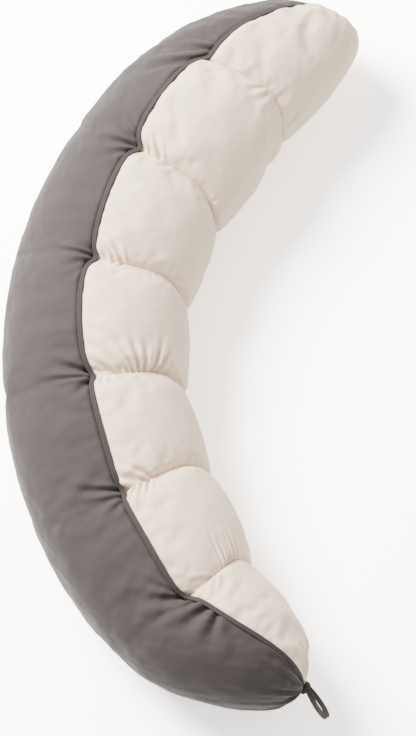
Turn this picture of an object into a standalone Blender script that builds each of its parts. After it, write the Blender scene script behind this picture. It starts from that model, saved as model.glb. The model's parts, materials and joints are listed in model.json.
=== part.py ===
"""Crescent nursing pillow: a zipped two-tone cover, its double welts, end loops and inner cushion.

Metres and radians, +Z up. The crescent lies on its flattened underside, its tips along -X and +X
and its open side towards -Y. A place on the cover is given by s, the distance along the centre line
from its middle, and by an angle around the tube, from straight up towards the outer curve.
"""

import math

import bmesh
import bpy
from mathutils import Matrix, Vector

LEFT, RIGHT = -1, 1

# Overall shape
PILLOW_WIDTH = 0.270  # from inner to outer curve, before the inner side's bulge
INNER_BULGE = 0.075  # share by which the inner side is wider than the outer one
SECTION_HEIGHT = 0.240  # of the round section, before the floor flattens it
CENTRE_HEIGHT = 0.105  # of the centre line above the floor
HALF_SPINE = {LEFT: 0.660, RIGHT: 0.646}  # along the centre line, from the middle to a tip
ARC_HALF = 0.270  # half the length of the untapered middle stretch
ARC_RADIUS = 0.538  # of the centre line in the middle stretch
END_RADIUS = 0.810  # of the centre line in the tapered ends
WIDTH_TAPER = 2.0  # how late the ends' outer side narrows
INNER_TAPER = {LEFT: 2.0, RIGHT: 2.95}  # how late their inner side does
HEIGHT_TAPER = 4.7  # how late the ends get lower
TAPER_ROUNDNESS = 1.95
END_LEAN = {LEFT: -0.25, RIGHT: 0.87}  # how far an end's inner side runs past its tip, per half width
END_INSET = {LEFT: 0.042, RIGHT: -0.014}  # how far a tip sits towards the inner side
END_EASE = {LEFT: 0.70, RIGHT: 0.50}  # share of the half spine where lean and inset begin
TIP_RADIUS = 0.011  # half width of the hole that the panels leave at each tip

# Segments and seams
SEGMENTS = 7
SEGMENT_PITCH = 0.179  # between cross seams
VALLEY_DEPTH = 0.011  # how far a cross seam pulls the cover in
VALLEY_FADE = 0.80  # angle over which that pull dies out in the outer panel
SEAM_LEAN = 0.006  # the long seams' angle off the top, at the cross seams
SEAM_BOW = 0.150  # extra angle between the cross seams
COVER_ROLL = 0.288  # the cover's turn about the centre line, per metre

# Cloth parts
PANEL_THICKNESS = 0.0025
WELT_WIDTH = 0.0064
WELT_HEIGHT = 0.0044
WELT_WALL = 0.0006
WELT_CORD_RADIUS = 0.0007
WELT_CORD_OFFSET = 0.00115
ELASTIC_WIDTH = 0.006
ELASTIC_THICKNESS = 0.0010
LINER_THICKNESS = 0.0012
LINER_END_RADIUS = 0.030  # half width of the liner's filling mouth at each end
LINER_SIDES = 12
FILL_SLACK = 0.0025  # between the liner and the beads
LABEL_LENGTH = 0.040
LABEL_HEIGHT = 0.030
LABEL_THICKNESS = 0.0004

# Zip, on the outer curve below the widest line
ZIP_ANGLE = 1.920
ZIP_INSET = 0.030  # from the ends of the middle stretch
SLOT_HALF = 0.0060
SLOT_CLOSE = 0.012  # length over which the slot closes at each end
SEAM_HALF = 0.0007  # half the gap between the outer panels beyond the zip
COIL_INNER = 0.00075
COIL_WIDTH = 0.00155
COIL_HEIGHT = 0.0022
COIL_DEPTH = 0.0037  # of the coils' middle below the cover
TAPE_WIDTH = 0.0114
TAPE_THICKNESS = 0.0006
TAPE_GAP = 0.0009  # under the outer panels
STOP_LENGTH = 0.002
SLIDER_LENGTH = 0.009
SLIDER_WIDTH = 0.008
SLIDER_PLATE = 0.0010
SLIDER_LIP = 0.0008
SLIDER_POST = 0.0007
RUNNING_GAP = 0.0005
ARCH_LENGTH = 0.0066
ARCH_WIDTH = 0.0016
ARCH_BAR = 0.0008
ARCH_SLACK = 0.0004
PULL_LENGTH = 0.026
PULL_WIDTH = 0.0064
PULL_THICKNESS = 0.0010
PULL_BAR = 0.0014
PULL_EYE = 0.0046
PULL_EYE_HALF = 0.0016

# Ends
BINDING_RADIUS = 0.0076
BINDING_INSIDE = 0.006
BINDING_OUTSIDE = {LEFT: 0.012, RIGHT: 0.005}
BINDING_ROUNDING = 0.0012
LOOP_LENGTH = 0.045
LOOP_WIDTH = 0.013
LOOP_TAPE = 0.0016
LOOP_HEIGHT = 0.010
LOOP_ROOT = 0.0013  # half the thickness where the loop's two legs lie together
LOOP_STEM = 0.008
LOOP_YAW = {LEFT: math.radians(20), RIGHT: math.radians(-50)}  # rest turn, from straight out of the tip
LOOP_DROOP = {LEFT: 0.0, RIGHT: math.radians(50)}  # rest slope, down from level

GAP = 0.0003  # between pieces that touch
LAYER_GAP = 0.0018  # between layers of cloth
EDGE_SLACK = 0.0008  # extra room between a panel's edge and the welt
STEPS_PER_SEGMENT = 6
STEPS_PER_END = 8
UPPER_ROWS = 6  # around the upper outer panel
LOWER_ROWS = 5  # around the lower outer panel
INNER_ROWS = 10  # around an inner panel
TAPE_STEPS = 24
STATION_ROOM = 0.004  # closest that two stations may lie
LABEL_DROP = 0.002  # from the zip tape to the label
SLOPE_STEP = 0.01  # angle over which slopes around the tube are taken
SLOPE_LENGTH = 0.0005  # length over which slopes along it are taken

ZIP_HALF = ARC_HALF - ZIP_INSET
WELT_DEPTH = WELT_HEIGHT / 2 + GAP
ELASTIC_DEPTH = PANEL_THICKNESS + LAYER_GAP
TAPE_DEPTH = PANEL_THICKNESS + TAPE_GAP
COIL_OUTER = COIL_INNER + COIL_WIDTH
SLIDER_TOP = COIL_DEPTH - COIL_HEIGHT / 2 - RUNNING_GAP - SLIDER_PLATE
SLIDER_BOTTOM = COIL_DEPTH + COIL_HEIGHT / 2 + RUNNING_GAP + SLIDER_PLATE
LINER_DEPTH = max(SLIDER_BOTTOM, ELASTIC_DEPTH + ELASTIC_THICKNESS) + LAYER_GAP
LABEL_DEPTH = PANEL_THICKNESS + LAYER_GAP
FILL_DEPTH = LINER_DEPTH + LINER_THICKNESS + FILL_SLACK
SLIDER_REST = ZIP_HALF - STOP_LENGTH - GAP - SLIDER_LENGTH / 2
ARCH_CLEAR = PULL_THICKNESS + 2 * RUNNING_GAP + ARCH_SLACK
PULL_PIVOT = SLIDER_TOP - ARCH_CLEAR / 2  # depth of the pull's turning axis

CROSS_SEAMS = [(i - (SEGMENTS - 2) / 2) * SEGMENT_PITCH for i in range(SEGMENTS - 1)]


# ------------------------------------------------------------------ shape of the pillow


def clamp(value, low=0.0, high=1.0):
    return min(max(value, low), high)


def side_of(s):
    return RIGHT if s >= 0 else LEFT


def spine_frame(s):
    """The centre line's point at s, and its directions along itself and to the outer side."""
    side = side_of(s)
    arc = min(abs(s), ARC_HALF) / ARC_RADIUS
    turn = arc + max(abs(s) - ARC_HALF, 0) / END_RADIUS
    x = ARC_RADIUS * math.sin(arc) + END_RADIUS * (math.sin(turn) - math.sin(arc))
    y = -ARC_RADIUS * (1 - math.cos(arc)) - END_RADIUS * (math.cos(arc) - math.cos(turn))
    along = Vector((math.cos(turn), -side * math.sin(turn), 0))
    outer = Vector((side * math.sin(turn), math.cos(turn), 0))
    return Vector((side * x, y, CENTRE_HEIGHT)), along, outer


def segment_phase(s):
    """0 on a cross seam, 1 half a segment away from the nearest one."""
    return clamp(min(abs(s - seam) for seam in CROSS_SEAMS) / (SEGMENT_PITCH / 2))


def seam_bow(s):
    towards_tip = clamp((HALF_SPINE[side_of(s)] - abs(s)) / (SEGMENT_PITCH / 2))
    return SEAM_BOW * (1 - (1 - segment_phase(s)) ** 2) * towards_tip


def top_seam(s):
    return SEAM_LEAN + COVER_ROLL * s + seam_bow(s)


def bottom_seam(s):
    return math.pi - SEAM_LEAN + COVER_ROLL * s - seam_bow(s)


def valley(s, angle):
    """How far the nearest cross seam pulls the cover in."""
    from_seam = min(angle - top_seam(s), bottom_seam(s) - angle)
    weight = 1.0 if from_seam <= 0 else clamp(1 - from_seam / VALLEY_FADE) ** 2
    return VALLEY_DEPTH * (1 - segment_phase(s)) ** 2 * weight


def half_sizes(s, angle, depth):
    """Half the section's width on this angle's side, and half its height."""
    side = side_of(s)
    inner = math.sin(angle) < 0
    taper = clamp((abs(s) - ARC_HALF) / (HALF_SPINE[side] - depth - ARC_HALF))
    width_taper = INNER_TAPER[side] if inner else WIDTH_TAPER
    wide = (PILLOW_WIDTH / 2 - depth) * (1 - taper**width_taper) ** (1 / TAPER_ROUNDNESS)
    tall = (SECTION_HEIGHT / 2 - depth) * (1 - taper**HEIGHT_TAPER) ** (1 / TAPER_ROUNDNESS)
    return wide * (1 + INNER_BULGE) if inner else wide, tall


def end_of_layer(side, depth, radius):
    """The distance from the middle at which a layer has narrowed to this half width."""
    share = 1 - (radius / (PILLOW_WIDTH / 2 - depth)) ** TAPER_ROUNDNESS
    return ARC_HALF + (HALF_SPINE[side] - depth - ARC_HALF) * share ** (1 / WIDTH_TAPER)


def cover_point(s, angle, depth=0.0):
    """A point this deep under the cover's outside."""
    side = side_of(s)
    point, along, outer = spine_frame(s)
    wide, tall = half_sizes(s, angle, depth)
    pull = valley(s, angle)
    wide = max(wide - pull, 0)
    tall = max(tall - pull, 0)
    ease = clamp((abs(s) / HALF_SPINE[side] - END_EASE[side]) / (1 - END_EASE[side]))
    ease = ease * ease * (3 - 2 * ease)
    point = point + outer * (wide * math.sin(angle) - END_INSET[side] * ease)
    point = point - along * (side * END_LEAN[side] * ease * wide * math.sin(angle))
    point.z = max(point.z + tall * math.cos(angle), depth)
    return point


def around_rate(s, angle):
    """Distance over the cover per radian around the tube."""
    ahead, behind = cover_point(s, angle + SLOPE_STEP), cover_point(s, angle - SLOPE_STEP)
    return (ahead - behind).length / (2 * SLOPE_STEP)


def outward(s, angle):
    """The cover's outward direction; on a cross seam, midway between its two sides."""
    along = cover_point(s + SLOPE_LENGTH, angle) - cover_point(s - SLOPE_LENGTH, angle)
    around = cover_point(s, angle + SLOPE_STEP) - cover_point(s, angle - SLOPE_STEP)
    return along.cross(around).normalized()


# ------------------------------------------------------------------ stations and edges


def spread(start, end, steps):
    """Values from start to end, closer together at both ends."""
    return [start + (end - start) * (1 - math.cos(math.pi * i / steps)) / 2 for i in range(steps + 1)]


def end_spread(start, end, steps):
    """Values from a cross seam to a tip, closer together at the tip."""
    return [start + (end - start) * math.sin(math.pi / 2 * i / steps) for i in range(steps + 1)]


def segment_stations(index, gap, depth=0.0, tip=TIP_RADIUS, skip=1):
    """One segment's stations in a layer, held back by half a gap at its cross seams."""
    steps = STEPS_PER_END // skip
    if index == 0:
        last = end_of_layer(LEFT, depth, tip)
        return [-s for s in reversed(end_spread(-CROSS_SEAMS[0] + gap / 2, last, steps))]
    if index == SEGMENTS - 1:
        return end_spread(CROSS_SEAMS[-1] + gap / 2, end_of_layer(RIGHT, depth, tip), steps)
    steps = STEPS_PER_SEGMENT // skip
    return spread(CROSS_SEAMS[index - 1] + gap / 2, CROSS_SEAMS[index] - gap / 2, steps)


def long_stations(depth=0.0, tip=TIP_RADIUS, skip=1):
    """The stations of a layer that runs from tip to tip."""
    stations = segment_stations(0, 0.0, depth, tip, skip)
    for index in range(1, SEGMENTS):
        stations += segment_stations(index, 0.0, depth, tip, skip)[1:]
    return stations


def zip_station_list():
    """The long stations, with one at each end of the zip's slot and one where it has closed."""
    edges = [side * (ZIP_HALF + add) for side in (-1, 1) for add in (0.0, SLOT_CLOSE)]
    kept = [s for s in long_stations() if min(abs(s - edge) for edge in edges) > STATION_ROOM]
    return sorted(kept + edges)


def welt_margin(s, seam, inwards):
    """Angle from a long seam to a panel's edge, so that the edge runs clear of half the welt."""
    angle = seam(s)
    step = SLOPE_LENGTH * inwards
    along = (cover_point(s + step, seam(s + step)) - cover_point(s, angle)).normalized()
    around = cover_point(s, angle + SLOPE_STEP) - cover_point(s, angle - SLOPE_STEP)
    around /= 2 * SLOPE_STEP
    return (WELT_WIDTH / 2 + GAP + EDGE_SLACK) / around.cross(along).length


def towards_middle(s, stations):
    """The side on which a station has neighbours on the same segment."""
    return 1 if s <= (stations[0] + stations[-1]) / 2 else -1


def widest_margin(s, seam):
    return max(welt_margin(s, seam, 1), welt_margin(s, seam, -1))


def slot_half(s):
    closing = clamp((abs(s) - ZIP_HALF) / SLOT_CLOSE)
    return SLOT_HALF + (SEAM_HALF - SLOT_HALF) * closing


# ------------------------------------------------------------------ modelling helpers


def clear_scene():
    for thing in list(bpy.data.objects):
        bpy.data.objects.remove(thing, do_unlink=True)


def make_material(name, color, roughness, metallic=0.0):
    material = bpy.data.materials.new(name)
    material.use_nodes = True
    shader = material.node_tree.nodes["Principled BSDF"]
    shader.inputs["Base Color"].default_value = (*color, 1.0)
    shader.inputs["Roughness"].default_value = roughness
    shader.inputs["Metallic"].default_value = metallic
    return material


def add_object(name, data, material, parent):
    """A new object in the pillow's collection, whose data is in world coordinates at this point."""
    thing = bpy.data.objects.new(name, data)
    PARTS.objects.link(thing)
    data.materials.append(material)
    thing.parent = parent
    thing.matrix_parent_inverse = parent_matrix(parent).inverted()
    return thing


def parent_matrix(parent):
    matrix = Matrix.Translation(parent.location)
    return parent_matrix(parent.parent) @ matrix if parent.parent else matrix


def add_empty(name, location, parent=None):
    """An empty on a joint's axis."""
    empty = bpy.data.objects.new(name, None)
    PARTS.objects.link(empty)
    empty.empty_display_size = 0.03
    empty.parent = parent
    empty.location = location - (parent_matrix(parent).translation if parent else Vector())
    return empty


def mesh_from_bmesh(name, bm, smooth=True):
    mesh = bpy.data.meshes.new(name)
    bm.to_mesh(mesh)
    bm.free()
    if smooth:
        mesh.shade_smooth()
    return mesh


def cloth_patch(name, rows, thickness, material, parent, close_around=False):
    """A shell of cloth: an open grid of points thickened inwards. rows[i][j] runs along, then around."""
    bm = bmesh.new()
    grid = [[bm.verts.new(point) for point in row] for row in rows]
    around = len(rows[0])
    for low, high in zip(grid, grid[1:]):
        for j in range(around if close_around else around - 1):
            k = (j + 1) % around
            bm.faces.new((low[j], high[j], high[k], low[k]))
    thing = add_object(name, mesh_from_bmesh(name, bm), material, parent)
    solid = thing.modifiers.new("cloth", "SOLIDIFY")
    solid.thickness = thickness
    solid.offset = -1
    solid.use_even_offset = False
    return thing


def sweep(name, rings, material, parent, inner=None):
    """A closed solid through rings of points, or an open-ended tube when inner rings are given."""
    bm = bmesh.new()

    def skin(loops, turn):
        grid = [[bm.verts.new(point) for point in ring] for ring in loops]
        count = len(grid[0])
        for low, high in zip(grid, grid[1:]):
            for j in range(count):
                k = (j + 1) % count
                face = (low[j], low[k], high[k], high[j])
                bm.faces.new(face[::turn])
        return grid

    shell = skin(rings, 1)
    if inner is None:
        bm.faces.new(shell[0][::-1])
        bm.faces.new(shell[-1])
    else:
        core = skin(inner, -1)
        count = len(rings[0])
        for end, turn in ((0, -1), (-1, 1)):
            for j in range(count):
                k = (j + 1) % count
                face = (shell[end][j], shell[end][k], core[end][k], core[end][j])
                bm.faces.new(face[::turn])
    bmesh.ops.recalc_face_normals(bm, faces=bm.faces)
    return add_object(name, mesh_from_bmesh(name, bm), material, parent)


def box_mesh(name, low, high):
    """A box between two corners, as a mesh object outside any collection."""
    bm = bmesh.new()
    bmesh.ops.create_cube(bm, size=1.0)
    size = Vector(high) - Vector(low)
    bmesh.ops.scale(bm, vec=size, verts=bm.verts)
    bmesh.ops.translate(bm, vec=(Vector(low) + Vector(high)) / 2, verts=bm.verts)
    return bpy.data.objects.new(name, mesh_from_bmesh(name, bm, smooth=False))


def union_of_boxes(name, boxes, matrix, material, parent):
    """One body from boxes that overlap, made in a local frame and then placed."""
    first = box_mesh(name, *boxes[0])
    bpy.context.scene.collection.objects.link(first)
    others = []
    for low, high in boxes[1:]:
        other = box_mesh(name + "_cutter", low, high)
        CUTTERS.objects.link(other)
        other.hide_render = True
        other.display_type = "WIRE"
        others.append(other)
        joined = first.modifiers.new("join", "BOOLEAN")
        joined.operation = "UNION"
        joined.solver = "EXACT"
        joined.object = other
    bpy.context.view_layer.update()
    mesh = bpy.data.meshes.new_from_object(first.evaluated_get(bpy.context.evaluated_depsgraph_get()))
    for other in [first] + others:
        bpy.data.objects.remove(other, do_unlink=True)
    mesh.transform(matrix)
    mesh.name = name
    return add_object(name, mesh, material, parent)


def flat_outline(name, outlines, thickness, matrix, material, parent):
    """A flat piece with holes, from closed outlines in its own XY plane."""
    curve = bpy.data.curves.new(name, "CURVE")
    curve.dimensions = "2D"
    curve.fill_mode = "BOTH"
    curve.extrude = thickness / 2
    for points in outlines:
        spline = curve.splines.new("POLY")
        spline.points.add(len(points) - 1)
        spline.use_cyclic_u = True
        for place, (x, y) in zip(spline.points, points):
            place.co = (x, y, 0, 1)
    thing = bpy.data.objects.new(name, curve)
    bpy.context.scene.collection.objects.link(thing)
    bpy.context.view_layer.update()
    mesh = bpy.data.meshes.new_from_object(thing.evaluated_get(bpy.context.evaluated_depsgraph_get()))
    bpy.data.objects.remove(thing, do_unlink=True)
    bm = bmesh.new()
    bm.from_mesh(mesh)
    bmesh.ops.remove_doubles(bm, verts=bm.verts, dist=0.00001)
    bmesh.ops.recalc_face_normals(bm, faces=bm.faces)
    bm.to_mesh(mesh)
    bm.free()
    mesh.transform(matrix)
    mesh.name = name
    return add_object(name, mesh, material, parent)


# ------------------------------------------------------------------ cover panels


def panel_rows(stations, low_edge, high_edge, count, depth=0.0, near_low=0.0, near_high=0.0):
    """Points over the cover between two edges, with an extra line near an edge that carries the zip."""
    rows = []
    for s in stations:
        low, high = low_edge(s), high_edge(s)
        inner_low = low + near_low / around_rate(s, low) if near_low else low
        inner_high = high - near_high / around_rate(s, high) if near_high else high
        angles = [inner_low + (inner_high - inner_low) * i / count for i in range(count + 1)]
        if near_low:
            angles.insert(0, low)
        if near_high:
            angles.append(high)
        rows.append([cover_point(s, angle, depth) for angle in angles])
    return rows


def zip_edge(side):
    return lambda s: ZIP_ANGLE + side * slot_half(s) / around_rate(s, ZIP_ANGLE)


def outer_panels(parent, material):
    stations = zip_station_list()
    near_zip = COIL_OUTER + TAPE_WIDTH
    upper = panel_rows(
        stations,
        lambda s: top_seam(s) + widest_margin(s, top_seam),
        zip_edge(-1),
        UPPER_ROWS,
        near_high=near_zip,
    )
    lower = panel_rows(
        stations,
        zip_edge(1),
        lambda s: bottom_seam(s) - widest_margin(s, bottom_seam),
        LOWER_ROWS,
        near_low=near_zip,
    )
    cloth_patch("outer_panel_upper", upper, PANEL_THICKNESS, material, parent)
    cloth_patch("outer_panel_lower", lower, PANEL_THICKNESS, material, parent)


def inner_edges(s, stations):
    """The two edges of the inner side at s: first under the bottom seam, then under the top one."""
    inwards = towards_middle(s, stations)
    low = bottom_seam(s) - 2 * math.pi + welt_margin(s, bottom_seam, inwards)
    high = top_seam(s) - welt_margin(s, top_seam, inwards)
    return low, high


def inner_panels(parent, material):
    for index in range(SEGMENTS):
        stations = segment_stations(index, GAP)
        rows = panel_rows(
            stations,
            lambda s: inner_edges(s, stations)[0],
            lambda s: inner_edges(s, stations)[1],
            INNER_ROWS,
        )
        cloth_patch(f"inner_panel_{index + 1}", rows, PANEL_THICKNESS, material, parent)


def cross_elastics(parent, material):
    """A gathering elastic under each cross seam."""
    for index, seam in enumerate(CROSS_SEAMS):
        low, high = inner_edges(seam, [seam - 1, seam + 1])
        step = (high - low) / INNER_ROWS
        angles = [low + step * j for j in range(1, INNER_ROWS)]
        rows = [
            [cover_point(seam + across, angle, ELASTIC_DEPTH) for angle in angles]
            for across in (-ELASTIC_WIDTH / 2, 0.0, ELASTIC_WIDTH / 2)
        ]
        cloth_patch(f"gather_elastic_{index + 1}", rows, ELASTIC_THICKNESS, material, parent)


# ------------------------------------------------------------------ welts


def ellipse_ring(centre, side, up, half_width, half_height, sides, offset=0.0):
    ring = []
    for i in range(sides):
        turn = 2 * math.pi * i / sides
        place = centre + side * (offset + half_width * math.cos(turn)) + up * half_height * math.sin(turn)
        ring.append(place)
    return ring


def welt_frames(seam):
    """Centre, sideways and outward directions along a long seam, short of the bindings."""
    stations = zip_station_list()[1:-1]
    normals = [outward(s, seam(s)) for s in stations]
    centres = [cover_point(s, seam(s)) - normal * WELT_DEPTH for s, normal in zip(stations, normals)]
    frames = []
    for i, normal in enumerate(normals):
        ahead = centres[min(i + 1, len(centres) - 1)] - centres[max(i - 1, 0)]
        side = ahead.cross(normal).normalized()
        frames.append((centres[i], side, side.cross(ahead).normalized()))
    return frames


def welts(parent, cloth, cord):
    for name, seam in (("upper", top_seam), ("lower", bottom_seam)):
        frames = welt_frames(seam)
        rings = [ellipse_ring(c, u, v, WELT_WIDTH / 2, WELT_HEIGHT / 2, 6) for c, u, v in frames]
        bore = [
            ellipse_ring(c, u, v, WELT_WIDTH / 2 - WELT_WALL, WELT_HEIGHT / 2 - WELT_WALL, 6)
            for c, u, v in frames
        ]
        sweep(f"{name}_welt_cover", rings, cloth, parent, inner=bore)
        for label, offset in (("outer", -WELT_CORD_OFFSET), ("inner", WELT_CORD_OFFSET)):
            core = [
                ellipse_ring(c, u, v, WELT_CORD_RADIUS, WELT_CORD_RADIUS, 4, offset)
                for c, u, v in frames
            ]
            sweep(f"{name}_welt_cord_{label}", core, cord, parent)


# ------------------------------------------------------------------ zip


def zip_frame(s):
    """The zip's matrix at s: local X along it, Y across it downwards, Z out of the cover."""
    _, along, outer = spine_frame(s)
    wide, tall = PILLOW_WIDTH / 2, SECTION_HEIGHT / 2
    up = Vector((0, 0, 1))
    across = (outer * wide * math.cos(ZIP_ANGLE) - up * tall * math.sin(ZIP_ANGLE)).normalized()
    matrix = Matrix.Identity(4)
    matrix.col[0][:3] = along
    matrix.col[1][:3] = across
    matrix.col[2][:3] = along.cross(across)
    matrix.col[3][:3] = cover_point(s, ZIP_ANGLE)
    return matrix


def coil_strip(name, reach, across, depths, material, parent):
    """One side's coil, as a bar along the zip."""
    low, high = -depths[1], -depths[0]
    corners = [(across[0], low), (across[1], low), (across[1], high), (across[0], high)]
    rings = []
    for i in range(TAPE_STEPS + 1):
        frame = zip_frame(-reach + 2 * reach * i / TAPE_STEPS)
        rings.append([frame @ Vector((0, y, z)) for y, z in corners])
    return sweep(name, rings, material, parent)


def zip_parts(parent, slider_parent, pull_parent, tape, nylon, metal):
    coil = (COIL_DEPTH - COIL_HEIGHT / 2, COIL_DEPTH + COIL_HEIGHT / 2)
    coil_reach = ZIP_HALF - STOP_LENGTH - GAP
    tape_stations = [ZIP_HALF * (2 * i / TAPE_STEPS - 1) for i in range(TAPE_STEPS + 1)]
    for name, side in (("upper", -1), ("lower", 1)):
        rate = around_rate(0, ZIP_ANGLE)
        near, far = sorted((side * (COIL_OUTER + GAP), side * (COIL_OUTER + GAP + TAPE_WIDTH)))
        angles = [ZIP_ANGLE + (near + (far - near) * j / 2) / rate for j in range(3)]
        rows = [[cover_point(s, angle, TAPE_DEPTH) for angle in angles] for s in tape_stations]
        cloth_patch(f"zip_tape_{name}", rows, TAPE_THICKNESS, tape, parent)
        edges = sorted((side * COIL_INNER, side * COIL_OUTER))
        coil_strip(f"zip_coil_{name}", coil_reach, edges, coil, nylon, parent)
    for name, side in (("left", -1), ("right", 1)):
        matrix = zip_frame(side * (ZIP_HALF - STOP_LENGTH / 2))
        low = (-STOP_LENGTH / 2, -COIL_OUTER, -coil[1])
        high = (STOP_LENGTH / 2, COIL_OUTER, -coil[0])
        union_of_boxes(f"zip_stop_{name}", [(low, high)], matrix, metal, parent)
    slider(slider_parent, metal)
    pull(pull_parent, metal)


def slider(parent, material):
    """Two plates joined by a post between the coils, lips over the tapes and an arch for the pull."""
    half, wide = SLIDER_LENGTH / 2, SLIDER_WIDTH / 2
    top, bottom = -SLIDER_TOP, -SLIDER_BOTTOM
    lip_top = -(TAPE_DEPTH - RUNNING_GAP)
    lip_bottom = -(TAPE_DEPTH + TAPE_THICKNESS + RUNNING_GAP)
    boxes = [
        ((-half, -wide, top - SLIDER_PLATE), (half, wide, top)),
        ((-half, -wide, bottom), (half, wide, bottom + SLIDER_PLATE)),
    ]
    post = SLIDER_POST / 2
    boxes.append(((-2 * post, -post, bottom + SLIDER_PLATE / 2), (2 * post, post, top - SLIDER_PLATE / 2)))
    for side in (-1, 1):
        near, far = sorted((side * (wide - SLIDER_LIP), side * wide))
        boxes.append(((-half, near, lip_top), (half, far, top - SLIDER_PLATE / 2)))
        boxes.append(((-half, near, bottom + SLIDER_PLATE / 2), (half, far, lip_bottom)))
    arch_half = ARCH_LENGTH / 2
    arch_top = top + ARCH_CLEAR + ARCH_BAR
    for side in (-1, 1):
        near, far = sorted((side * (arch_half - ARCH_BAR), side * arch_half))
        boxes.append(((near, -ARCH_WIDTH / 2, top - SLIDER_PLATE / 2), (far, ARCH_WIDTH / 2, arch_top)))
    boxes.append(((-arch_half, -ARCH_WIDTH / 2, top + ARCH_CLEAR), (arch_half, ARCH_WIDTH / 2, arch_top)))
    return union_of_boxes("zip_slider", boxes, zip_frame(SLIDER_REST), material, parent)


def rounded_outline(length, width, start):
    """A strip from start to length with a round far end."""
    radius = width / 2
    points = [(start, -radius), (length - radius, -radius)]
    for i in range(1, 6):
        turn = -math.pi / 2 + math.pi * i / 6
        points.append((length - radius + radius * math.cos(turn), radius * math.sin(turn)))
    points += [(length - radius, radius), (start, radius)]
    return [(-x, -y) for x, y in points]


def pull(parent, material):
    """A flat pull lying back along the zip, with its crossbar under the slider's arch."""
    outline = rounded_outline(PULL_LENGTH, PULL_WIDTH, -PULL_BAR / 2)
    near, far = PULL_BAR / 2, PULL_BAR / 2 + PULL_EYE
    eye = [(-near, -PULL_EYE_HALF), (-near, PULL_EYE_HALF), (-far, PULL_EYE_HALF), (-far, -PULL_EYE_HALF)]
    matrix = zip_frame(SLIDER_REST) @ Matrix.Translation((0, 0, -PULL_PIVOT))
    flat_outline("zip_pull", [outline, eye], PULL_THICKNESS, matrix, material, parent)


def care_label(parent, material):
    """A blank label inside the cover, below the zip."""
    rows = []
    for s in (-LABEL_LENGTH / 2, 0.0, LABEL_LENGTH / 2):
        rate = around_rate(s, ZIP_ANGLE)
        start = ZIP_ANGLE + (COIL_OUTER + TAPE_WIDTH + LABEL_DROP) / rate
        rows.append([cover_point(s, start + LABEL_HEIGHT / rate * j / 3, LABEL_DEPTH) for j in range(4)])
    cloth_patch("care_label", rows, LABEL_THICKNESS, material, parent)


# ------------------------------------------------------------------ ends


def tip_frame(side):
    """A tip's matrix: local X straight out of the tip, Y to the outer curve, Z up."""
    point, along, outer = spine_frame(side * end_of_layer(side, 0.0, TIP_RADIUS))
    point = point - outer * END_INSET[side]
    matrix = Matrix.Identity(4)
    matrix.col[0][:3] = along * side
    matrix.col[1][:3] = outer
    matrix.col[2][:3] = (along * side).cross(outer)
    matrix.col[3][:3] = point
    return matrix


def loop_pivot(side):
    """The middle of the line where a loop is stitched on, clear of the binding's end."""
    reach = LOOP_ROOT + LOOP_HEIGHT / 2 * math.sin(LOOP_DROOP[side]) * math.cos(LOOP_YAW[side])
    return tip_frame(side) @ Vector((BINDING_OUTSIDE[side] + GAP + reach, 0, 0))


def loop_turn(side):
    """A loop's rest rotation; its axis of swing is the turned local Z."""
    droop = Matrix.Rotation(LOOP_DROOP[side], 4, "Y")
    return tip_frame(side).to_3x3().to_4x4() @ Matrix.Rotation(LOOP_YAW[side], 4, "Z") @ droop


def binding(name, side, parent, material):
    """The tape wound round the gathered tip, as a bevelled cylinder."""
    length = BINDING_INSIDE + BINDING_OUTSIDE[side]
    bm = bmesh.new()
    bmesh.ops.create_cone(
        bm, cap_ends=True, segments=16, radius1=BINDING_RADIUS, radius2=BINDING_RADIUS, depth=length
    )
    middle = (BINDING_OUTSIDE[side] - BINDING_INSIDE) / 2
    place = Matrix.Translation((middle, 0, 0)) @ Matrix.Rotation(math.pi / 2, 4, "Y")
    bmesh.ops.transform(bm, matrix=tip_frame(side) @ place, verts=bm.verts)
    thing = add_object(name, mesh_from_bmesh(name, bm), material, parent)
    bevel = thing.modifiers.new("rounding", "BEVEL")
    bevel.width = BINDING_ROUNDING
    bevel.segments = 1
    bevel.limit_method = "ANGLE"
    bevel.angle_limit = math.radians(60)


def mirrored(points):
    """A closed outline from its upper half, whose first and last points lie on the X axis."""
    return points + [(x, -y) for x, y in points[-2:0:-1]]


def drop_half(start, end, width, root):
    """The upper half of a drop from its narrow start to its round end."""
    steps = 10
    points = []
    for i in range(1, steps):
        share = i / steps
        x = start + (end - start) * (1 - math.cos(math.pi * share)) / 2
        points.append((x, root * (1 - share) + width / 2 * math.sin(math.pi * share) ** 0.9))
    return points + [(end, 0.0)]


def end_loop(name, side, parent, material):
    """A loop of tape standing on its edge, free to swing about the line where it is stitched."""
    turns = [math.pi * (1 - i / 6) for i in range(4)]
    stem = [(LOOP_ROOT * math.cos(turn), LOOP_ROOT * math.sin(turn)) for turn in turns]
    stem[0] = (-LOOP_ROOT, 0.0)
    stem.append((LOOP_STEM, LOOP_ROOT))
    outer = mirrored(stem + drop_half(LOOP_STEM, LOOP_LENGTH, LOOP_WIDTH, LOOP_ROOT))
    hole_start = (LOOP_STEM + LOOP_TAPE, 0.0)
    hole = drop_half(hole_start[0], LOOP_LENGTH - LOOP_TAPE, LOOP_WIDTH - 2 * LOOP_TAPE, 0.0)
    inner = mirrored([hole_start] + hole)
    matrix = Matrix.Translation(loop_pivot(side)) @ loop_turn(side)
    flat_outline(name, [outer, inner], LOOP_HEIGHT, matrix, material, parent)


# ------------------------------------------------------------------ inner cushion


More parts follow.
